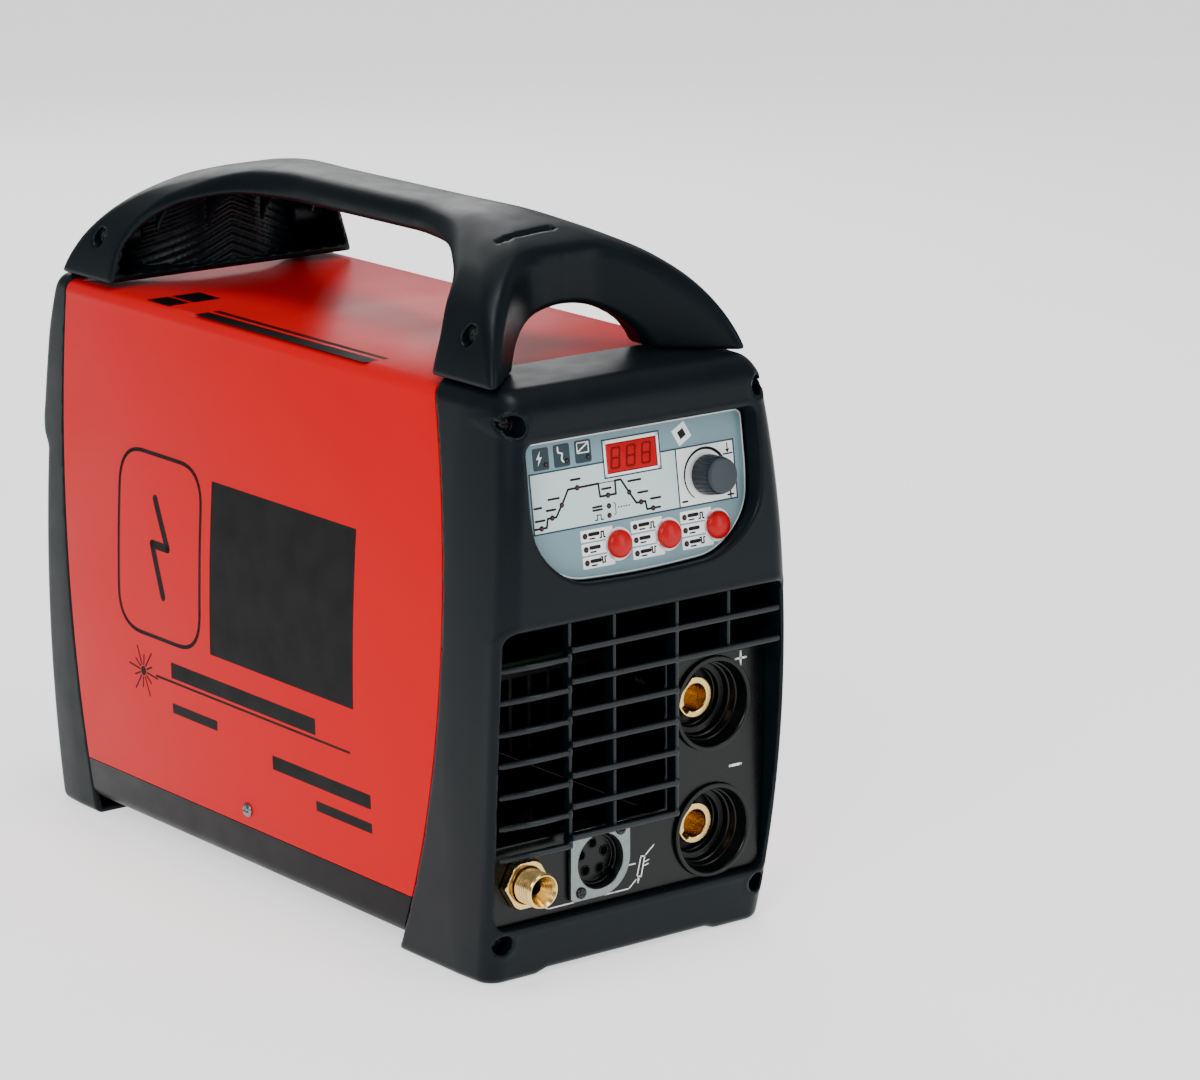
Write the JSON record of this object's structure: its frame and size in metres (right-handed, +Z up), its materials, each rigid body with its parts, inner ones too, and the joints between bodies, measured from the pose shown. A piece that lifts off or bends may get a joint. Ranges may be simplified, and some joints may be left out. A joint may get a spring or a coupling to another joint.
{
  "type": "tig welder",
  "caption": "Portable inverter TIG welding power source with carrying handle, tilted control panel, weld sockets, torch connector, gas outlet and cooling fan.",
  "frame": {"origin": "under the middle of the machine's box, at the level of its feet", "axes": "+Z up, -Y towards the control panel, +X to the right when facing the panel"},
  "size_m": [0.1768, 0.4144, 0.34],
  "materials": {
    "bezel_plastic": "fine moulded texture, satin",
    "grille_plastic": "satin moulding",
    "black_plastic": "satin black",
    "red_paint": "smooth satin powder coat",
    "tray_paint": "satin black powder coat",
    "panel_film": "satin printed film",
    "red_lens": "clear gloss",
    "red_button": "soft gloss",
    "knob_plastic": "satin, ribbed",
    "knob_grey": "satin",
    "brass": "machined",
    "satin_steel": "satin nickel plate",
    "black_steel": "black oxide",
    "board_green": "solder mask",
    "heatsink_aluminium": "extruded",
    "copper_winding": "enamelled wire",
    "ferrite": "matt ceramic",
    "hose_rubber": "matt"
  },
  "bodies": {
    "machine": {"front_bezel": "bezel_plastic", "rear_bezel": "bezel_plastic", "handle_shell": "bezel_plastic", "front_grille": "grille_plastic", "rear_fan_grille": "grille_plastic", "handle_grip_insert": "grille_plastic", "display_module": "black_plastic", "connector_panel": "black_plastic", "socket_housing_minus": "black_plastic", "socket_housing_plus": "black_plastic", "torch_connector_insert": "black_plastic", "fan_frame": "black_plastic", "power_switch_body": "black_plastic", "mains_gland": "black_plastic", "gas_valve_coil": "black_plastic", "bus_capacitor": "black_plastic", "cover": "red_paint", "base_tray": "tray_paint", "control_panel": "panel_film", "display_window": "red_lens", "socket_contact_minus": "brass", "socket_contact_plus": "brass", "gas_outlet_fitting": "brass", "gas_outlet_nut": "brass", "gas_inlet_fitting": "brass", "gas_valve_body": "brass", "torch_connector_flange": "satin_steel", "encoder_body": "satin_steel", "cover_screw_left": "satin_steel", "cover_screw_right": "satin_steel", "torch_connector_screw_1": "black_steel", "torch_connector_screw_2": "black_steel", "front_screw_top_left": "black_steel", "front_screw_top_right": "black_steel", "front_screw_low_left": "black_steel", "front_screw_low_right": "black_steel", "rear_screw_top_left": "black_steel", "rear_screw_top_right": "black_steel", "rear_screw_low_left": "black_steel", "rear_screw_low_right": "black_steel", "handle_screw_front_left": "black_steel", "handle_screw_front_right": "black_steel", "handle_screw_rear_left": "black_steel", "handle_screw_rear_right": "black_steel", "control_board": "board_green", "power_board": "board_green", "heatsink": "heatsink_aluminium", "output_inductor": "copper_winding", "main_transformer": "ferrite", "gas_hose": "hose_rubber"},
    "encoder_slide": {"encoder_plunger": "black_plastic"},
    "knob": {"knob": "knob_plastic", "knob_cap": "knob_grey", "encoder_shaft": "satin_steel"},
    "button_left": {"button_left": "red_button"},
    "button_middle": {"button_middle": "red_button"},
    "button_right": {"button_right": "red_button"},
    "fan_rotor": {"fan_rotor": "black_plastic"},
    "power_switch_knob": {"power_switch_knob": "black_plastic"},
    "gas_valve_plunger": {"gas_valve_plunger": "satin_steel"}
  },
  "joints": [
    {"name": "knob_press", "type": "slide", "parent": "machine", "child": "encoder_slide", "axis": [0, 0.9903, -0.1392], "range_m": [0, 0.0005], "stiffness_N_per_m": 3000, "springref_m": -0.0005},
    {"name": "knob_turn", "type": "hinge", "parent": "encoder_slide", "child": "knob", "pos_m": [0.0413, -0.19258, 0.22397], "axis": [0, -0.9903, 0.1392], "continuous": true},
    {"name": "button_left_press", "type": "slide", "parent": "machine", "child": "button_left", "axis": [0, 0.9903, -0.1392], "range_m": [0, 0.0008], "stiffness_N_per_m": 1500, "springref_m": -0.0005},
    {"name": "button_middle_press", "type": "slide", "parent": "machine", "child": "button_middle", "axis": [0, 0.9903, -0.1392], "range_m": [0, 0.0008], "stiffness_N_per_m": 1500, "springref_m": -0.0005},
    {"name": "button_right_press", "type": "slide", "parent": "machine", "child": "button_right", "axis": [0, 0.9903, -0.1392], "range_m": [0, 0.0008], "stiffness_N_per_m": 1500, "springref_m": -0.0005},
    {"name": "fan_spin", "type": "hinge", "parent": "machine", "child": "fan_rotor", "pos_m": [0, 0.17, 0.094], "axis": [0, 1, 0], "continuous": true},
    {"name": "power_switch_turn", "type": "hinge", "parent": "machine", "child": "power_switch_knob", "pos_m": [0.038, 0.2, 0.226], "axis": [0, 1, 0], "range_deg": [0, 90]},
    {"name": "gas_valve_stroke", "type": "slide", "parent": "machine", "child": "gas_valve_plunger", "axis": [0, 0, 1], "range_m": [0, 0.002], "stiffness_N_per_m": 1000, "springref_m": -0.001}
  ]
}
